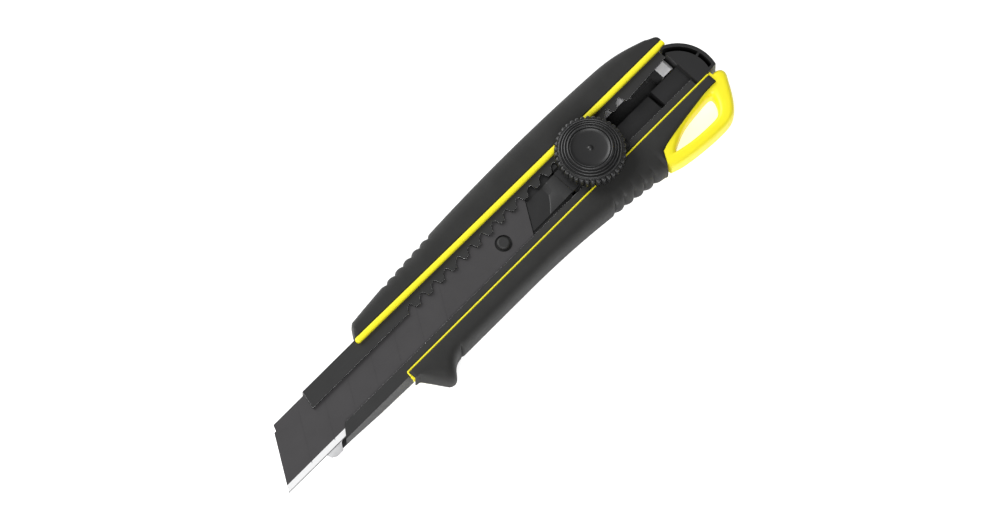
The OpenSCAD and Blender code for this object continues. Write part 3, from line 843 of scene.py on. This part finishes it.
class KNIFE_OT_core(bpy.types.Operator):
    """The moulded frame with its beads and lanyard loop"""

    bl_idname = "knife.core"
    bl_label = "Core"

    def execute(self, context):
        self.body()
        self.bead()
        self.line()
        self.loop()
        return {"FINISHED"}

    def body(self):
        """The walls, cut away for the channel, the slot over it, the end cap's seat and the slanted nose."""
        wall_foot, rear_wall, rear_wall_y, corner_y = 1.5, -89, 8.4, -9.8
        outline = [(SPINE_FRONT, -HALF_CORE), (EDGE_FRONT, HALF_CORE), (rear_wall, HALF_CORE),
                   (rear_wall, rear_wall_y), (REAR, rear_wall_y), (REAR, corner_y), (REAR + 1, -HALF_CORE)]
        wall = prism(outline, wall_foot, WALL_TOP)
        soften(wall, 0.3, 2)
        trench_rear, slot_floor = REAR - 1, 4.2
        sides = [(AHEAD, -TRENCH_HALF), (AHEAD, TRENCH_HALF), (trench_rear, TRENCH_HALF),
                 (trench_rear, -TRENCH_HALF)]
        trench = prism(sides, *TRENCH_HEIGHTS)
        inner = [(x, bead_y(x) + BEAD_HALF) for x in inclusive(BEHIND, AHEAD, 20)]
        slot = prism([(AHEAD, LINE[0]), (BEHIND, LINE[0])] + inner, slot_floor, ABOVE)
        wheel = [(0, 0), (CAP_SEAT_RADIUS, 0), (CAP_SEAT_RADIUS, ABOVE), (0, ABOVE)]
        inside = box(REAR, -40, -ASIDE, ASIDE, -1, ABOVE + 1)
        loop_side = box(-120, -40, 8.5, ASIDE, -1, ABOVE + 1)
        seat = carved(disc(wheel, CAP_CENTRE, 96), inside, loop_side)
        slant = [(50, 11), (EDGE_FRONT - 0.1, 11), (35, 1.4), (35, -1), (50, -1)]
        front = loft([[(x, y, z) for x, z in slant] for y in (-ASIDE, ASIDE)])
        whole = carved(wall, trench, slot, seat, front)
        piece("frame_body", whole, "yellow", "handle", ("core",), smooth=30)

    def bead(self):
        """The round-topped bead beside the spine-side grip."""
        section = [(-1.0, LIP), (-1.0, 14.4), (-0.95, 14.65), (-0.8, 14.83), (-0.5, 14.95), (0.0, BEAD_TOP)]
        section += [(-y, z) for y, z in reversed(section[:-1])]
        tip = [(0.95, 0.25), (0.88, 0.5), (0.65, 0.78), (0.35, 0.96), (0.0, 1.0)]
        stations = [(BEAD_FRONT + x, share) for x, share in tip]
        stations += [(x, 1.0) for x in inclusive(43, -85.8, 3)] + [(-86.2, 0.95), (BEAD_REAR, 0.85)]
        rings = []
        for x, share in stations:
            middle = bead_y(x)
            drop = (1 - share) * 0.5
            rings.append([(x, middle + y * BEAD_HALF * share, max(z - drop, LIP)) for y, z in section])
        piece("bead_spine_side", loft(rings), "yellow", "handle", smooth=50)

    def line(self):
        """The thin line beside the edge-side grip, which curls down over the guard's front."""
        middle = (LINE[0] + LINE[1]) / 2
        half = (LINE[1] - LINE[0]) / 2
        section = [(-1.0, LIP), (-1.0, 14.45), (-0.8, 14.75), (-0.4, 14.87), (0.0, LINE_TOP)]
        section += [(-y, z) for y, z in reversed(section[:-1])]
        straight = loft([[(x, middle + y * half, z) for y, z in section] for x in inclusive(41.4, -88, 4)])
        curl = [(40.6, 8.75, 14.6), (41.35, 8.78, 14.58), (41.7, 9.0, 14.55), (41.78, 9.5, 14.45),
                (41.76, 10.2, 14.2), (41.74, 10.8, 13.6), (41.72, 11.2, 12.9), (41.7, 11.35, 12.1),
                (41.7, 11.38, 11.4)]
        curl = spline(curl, 4, closed=False)
        lean = Vector((0, 0.25, 1))
        thick, sides = 0.26, 12
        rings = []
        for i, place in enumerate(curl):
            along = Vector(curl[min(i + 1, len(curl) - 1)]) - Vector(curl[max(i - 1, 0)])
            side = along.cross(lean).normalized()
            up = side.cross(along).normalized()
            radius = thick if i < len(curl) - 2 else thick * (len(curl) - i) / 3
            turns = [2 * math.pi * k / sides for k in range(sides)]
            rings.append([tuple(Vector(place) + (side * math.cos(a) + up * math.sin(a)) * radius)
                          for a in turns])
        piece("line_edge_side", joined(straight, loft(rings)), "yellow", "handle", smooth=50)

    def loop(self):
        """The lanyard loop: a ring of rounded section between its outline and its hole."""
        outline = [(-55.0, 18.8), (-61, 21.6), (-66, 22.7), (-72, 23.4), (-77, 23.7), (-81.4, 23.6),
                   (-84.8, 22.5), (-88, 19.3), (-91, 14.8), (-92.7, 11.8), (-92.3, 10.0), (-90.4, 9.2),
                   (-84, 9.3), (-75, 9.8), (-66, 10.2), (-57, 10.6), (-53.5, 14.5)]
        hole = [(-64.4, 17.9), (-71.5, 14.8), (-79, 13.7), (-83.4, 13.5), (-84.2, 14.8), (-83.2, 17.2),
                (-81.4, 19.1), (-79, 19.8), (-72, 19.6), (-66.5, 18.8)]
        outline = spline(outline, 12)
        hole = spline(hole, 14)
        low, high = LOOP_HEIGHTS
        turns, corners = 144, 24
        rings = []
        for i in range(turns):
            angle = 2 * math.pi * i / turns
            far = crossing(outline, LOOP_MIDDLE, angle)
            near = crossing(hole, LOOP_MIDDLE, angle)
            ring = []
            for k in range(corners):
                a = 2 * math.pi * (k + 0.5) / corners
                across = squared(math.cos(a))
                up = squared(math.sin(a))
                ring.append((near[0] + (far[0] - near[0]) * across, near[1] + (far[1] - near[1]) * across,
                             low + (high - low) * up))
            rings.append(ring)
        front = box(TAIL_X - 0.05, -40, 0, 40, 0, ABOVE)
        under_grip = [-58.6, TAIL_X, -60.3, -61.3, -64, -68, -73, -78, -83, -86, -88.2]
        inlay = [(x, max(lower_out(x, 0), HALF_CORE + 0.3) + 0.05) for x in under_grip]
        pocket = prism(inlay + [(-88.5, 9), (-58.6, 9)], 12.5, 20)
        piece("lanyard_loop", carved(ring_loft(rings), front, pocket), "yellow", "handle", smooth=35)


class KNIFE_OT_holder(bpy.types.Operator):
    """The steel channel with its rack, and its rivets"""

    bl_idname = "knife.holder"
    bl_label = "Blade holder"

    def execute(self, context):
        self.channel(context.scene.knife_sizes.edge_round / MM)
        eased("holder_rivets", "channel_rivets", "steel_reflection", "handle", 0.1)
        eased("blade_spring", "nose_leaf", "steel_reflection", "handle", 0.08)
        eased("spring_rivet", "nose_rivet", "steel_reflection", "handle", 0.08)
        self.floor_leaf()
        eased("leaf_rivet", "floor_leaf_rivet", "steel_reflection", "handle", 0.08)
        return {"FINISHED"}

    def channel(self, width):
        """The channel; on its flanges' inner edges the rounded corners get a painted highlight, also worn
        bare steel in front, and the cut faces a near-black painted shade.
        """
        bm = from_frame("blade_holder")
        soften(bm, width * 1.25, 2)
        bmesh.ops.recalc_face_normals(bm, faces=bm.faces)
        looks = ("coat", "wear_and_highlight", "steel_reflection", "painted_shade")
        steep, level = 0.2, 0.97
        for face in bm.faces:
            middle = face.calc_center_median()
            if middle.z <= FLANGE_LOW or not FLANGE_GAP[0] < middle.y < FLANGE_GAP[1]:
                continue
            # Rounded corners of the inner edge: painted highlight, in front also worn bare steel.
            if steep < face.normal.z < level:
                corner = "wear_and_highlight" if middle.x > REAR_NOTCHES_X else "steel_reflection"
                face.material_index = looks.index(corner)
            # Cut faces of the inner edge: near-black painted shade.
            elif abs(face.normal.z) <= steep:
                face.material_index = looks.index("painted_shade")
        piece("steel_channel", bm, looks[0], "handle", ("blade_holder",), extra=looks[1:])

    def floor_leaf(self):
        """The bent leaf on the channel's floor; where it lies low it gets the black channel finish as
        painted shade.
        """
        bm = from_frame("tail_leaf")
        soften(bm, 0.08, 2)
        for face in bm.faces:
            # The low stretch: black channel finish as painted shade.
            if LEAF_SHADE[0] < face.calc_center_median().x < LEAF_SHADE[1]:
                face.material_index = 1
        piece("floor_leaf", bm, "steel_reflection", "handle", ("tail_leaf",), extra=("coat",))


class KNIFE_OT_cap(bpy.types.Operator):
    """The end cap that pulls off the rear"""

    bl_idname = "knife.cap"
    bl_label = "End cap"

    def execute(self, context):
        bm = from_frame("end_cap")
        soften(bm, 0.2, 3)
        bmesh.ops.recalc_face_normals(bm, faces=bm.faces)
        inner, outer = CAP_SLOT_RADII
        low, high = CAP_SLOT_HEIGHTS
        for face in bm.faces:
            middle = face.calc_center_median()
            run = math.dist((middle.x, middle.y), CAP_CENTRE)
            # Faces inside the slots get near-black painted shade.
            if middle.x < REAR - 0.2 and inner < run < outer and low < middle.z < high:
                face.material_index = 1
        piece("segment_cap", bm, "plastic", "cap", ("end_cap",), extra=("painted_shade",))
        return {"FINISHED"}


class KNIFE_OT_blade(bpy.types.Operator):
    """The blade and the pin that holds it"""

    bl_idname = "knife.blade"
    bl_label = "Blade"

    def execute(self, context):
        bm = from_frame("blade")
        everything = bm.verts[:] + bm.edges[:] + bm.faces[:]
        bmesh.ops.bisect_plane(bm, geom=everything, plane_co=(0, HONED_FROM, 0), plane_no=(0, 1, 0))
        bmesh.ops.recalc_face_normals(bm, faces=bm.faces)
        # Faces past GROUND_FROM take the bevel's painted reflection; past HONED_FROM, the edge line's
        # painted shade.
        for face in bm.faces:
            middle = face.calc_center_median()
            if middle.y > GROUND_FROM and abs(face.normal.y) > 0.05:
                face.material_index = 2 if middle.y > HONED_FROM else 1
        piece("snap_blade", bm, "blade", "carriage", ("blade",), smooth=20, extra=("ground", "edge_line_shade"))
        eased("blade_pin", "pin", "coat", "carriage", 0.25, 3)
        return {"FINISHED"}


class KNIFE_OT_carriage(bpy.types.Operator):
    """The slider, its springs and the clamp under the dial"""

    bl_idname = "knife.carriage"
    bl_label = "Carriage"

    def execute(self, context):
        block = carved(from_frame("slider"), self.ramp(), union=True)
        soften(block, 0.12, 2, 35)
        piece("carriage_slider", block, "plastic", "carriage", ("slider",))
        eased("slider_spring", "blade_lift_spring", "steel_reflection", "carriage", 0.06)
        eased("slider_rivet", "lift_spring_rivet", "steel_reflection", "carriage", 0.08)
        eased("release_spring", "clamp_release_spring", "steel_reflection", "carriage", 0.05)
        eased("washer", "slip_washer", "steel_reflection", "carriage", 0.08)
        eased("clamp_plate", "clamping_plate", "coat", "clamp", 0.12)
        eased("clamp_bolt", "clamping_bolt", "steel_reflection", "clamp", 0.12)
        eased("dial_clip", "retaining_clip", "steel_reflection", "clamp", 0.06)
        return {"FINISHED"}

    def ramp(self):
        """The slider's raised ramp, whose front edge curves across the blade."""
        low, lip, top, rear = 12.3, 12.62, 13.45, -34.15
        side, width, steps = -2.95, 7.7, 14
        rows = []
        for i in range(steps + 1):
            share = i / steps
            start = -29.2 + 5.4 * share ** 1.6
            rise = [(start, low), (start, lip), (start - 0.5, 12.68), (-29.9, 13.1), (-32, 13.36),
                    (-33.6, top), (rear, top), (rear, low)]
            rows.append([(x, side + width * share, z) for x, z in rise])
        return loft(rows)


class KNIFE_OT_dial(bpy.types.Operator):
    """The dial with its bumps and rings, and what is inside it"""

    bl_idname = "knife.dial"
    bl_label = "Dial"

    def execute(self, context):
        sizes = context.scene.knife_sizes
        self.knob(sizes.dial_radius / MM, sizes.dial_bumps)
        dish = [(0, 21.1), (6.05, 21.1), (6.24, 21.2), (6.24, 21.62), (6.18, 21.74), (6.02, 21.8),
                (5.86, 21.74), (5.7, 21.6), (5.0, 21.5), (4.0, 21.42), (3.0, 21.38), (1.6, 21.33),
                (0.95, 21.34), (0.8, 21.5), (0.6, 21.66), (0.4, 21.74), (0.2, 21.79), (0, 21.8)]
        piece("dial_face", disc(dish, DIAL_AXIS, 160), "plastic", "dial", ("dial_cap",), smooth=45)
        eased("dial_insert", "threaded_insert", "brass", "dial", 0.1)
        return {"FINISHED"}

    def knob(self, outer, bumps):
        """The dial; its profile runs up the bumpy rim, then inwards over rings to the dished cap's seat."""
        low, crown = DIAL_HEIGHTS
        seat = 21.05
        profile = [
            (5.0, 19.4), (4.2, 19.4), (4.2, 15.7), (7.0, 15.7), (7.1, low), (outer - 0.9, low),
            (outer - 0.25, low + 0.12), (outer, low + 0.5), (outer, low + 1.6), (outer, low + 2.8),
            (outer, crown - 0.8), (outer - 0.12, crown - 0.35), (outer - 0.45, crown - 0.08),
            (outer - 0.8, crown), (9.85, crown - 0.02), (9.62, crown - 0.02), (9.5, crown + 0.1),
            (9.4, crown + 0.42), (9.25, crown + 0.5), (9.1, crown + 0.44), (9.0, crown + 0.25),
            (8.85, crown + 0.25), (8.72, crown + 0.45), (8.62, crown + 0.85), (8.45, crown + 0.93),
            (8.3, crown + 0.86), (8.2, crown + 0.66), (8.05, crown + 0.66), (7.93, crown + 0.85),
            (7.83, crown + 1.2), (7.66, crown + 1.28), (7.5, crown + 1.2), (7.4, crown + 1.0),
            (7.25, crown + 1.0), (7.12, crown + 1.2), (7.0, crown + 1.58), (6.85, crown + 1.72),
            (6.65, crown + 1.75), (6.45, crown + 1.68), (6.33, crown + 1.5), (6.3, crown + 1.35),
            (6.3, seat), (5.0, seat)]

        def scallop(r, z, a):
            """The rim's bumps; the rest of the profile stays round."""
            depth, sharpness = 0.85, 0.6
            rim = min(1.0, max(0.0, (r - (outer - 1.0)) / 0.6))
            if rim <= 0 or z > crown + 0.3 or z < low - 0.01:
                return r
            wave = abs(math.cos(a * bumps / 2))
            return r - depth * rim * (1 - wave ** sharpness)

        steps_per_bump = 12
        knob = turned(profile, DIAL_AXIS, bumps * steps_per_bump, scallop)
        piece("lock_dial", knob, "plastic", "dial", ("dial",), smooth=45)


STEPS = [KNIFE_OT_stage, KNIFE_OT_core, KNIFE_OT_grips, KNIFE_OT_holder, KNIFE_OT_cap, KNIFE_OT_blade,
         KNIFE_OT_carriage, KNIFE_OT_dial]


class KNIFE_PT_build(bpy.types.Panel):
    """Lists the steps and their settings"""

    bl_label = "Snap-off knife"
    bl_idname = "KNIFE_PT_build"
    bl_space_type = "VIEW_3D"
    bl_region_type = "UI"
    bl_category = "Knife"

    def draw(self, context):
        column = self.layout.column()
        for group in (context.scene.knife_sizes, context.scene.knife_colours):
            for name in group.__annotations__:
                column.prop(group, name)
        for step in STEPS:
            column.operator(step.bl_idname)


CLASSES = [KnifeSizes, KnifeColours, *STEPS, KNIFE_PT_build]


def register():
    for each in CLASSES:
        bpy.utils.register_class(each)
    bpy.types.Scene.knife_sizes = PointerProperty(type=KnifeSizes)
    bpy.types.Scene.knife_colours = PointerProperty(type=KnifeColours)


def unregister():
    del bpy.types.Scene.knife_sizes
    del bpy.types.Scene.knife_colours
    for each in reversed(CLASSES):
        bpy.utils.unregister_class(each)


def main():
    register()
    for step in STEPS:
        group, name = step.bl_idname.split(".")
        getattr(getattr(bpy.ops, group), name)()


if __name__ == "__main__":
    main()
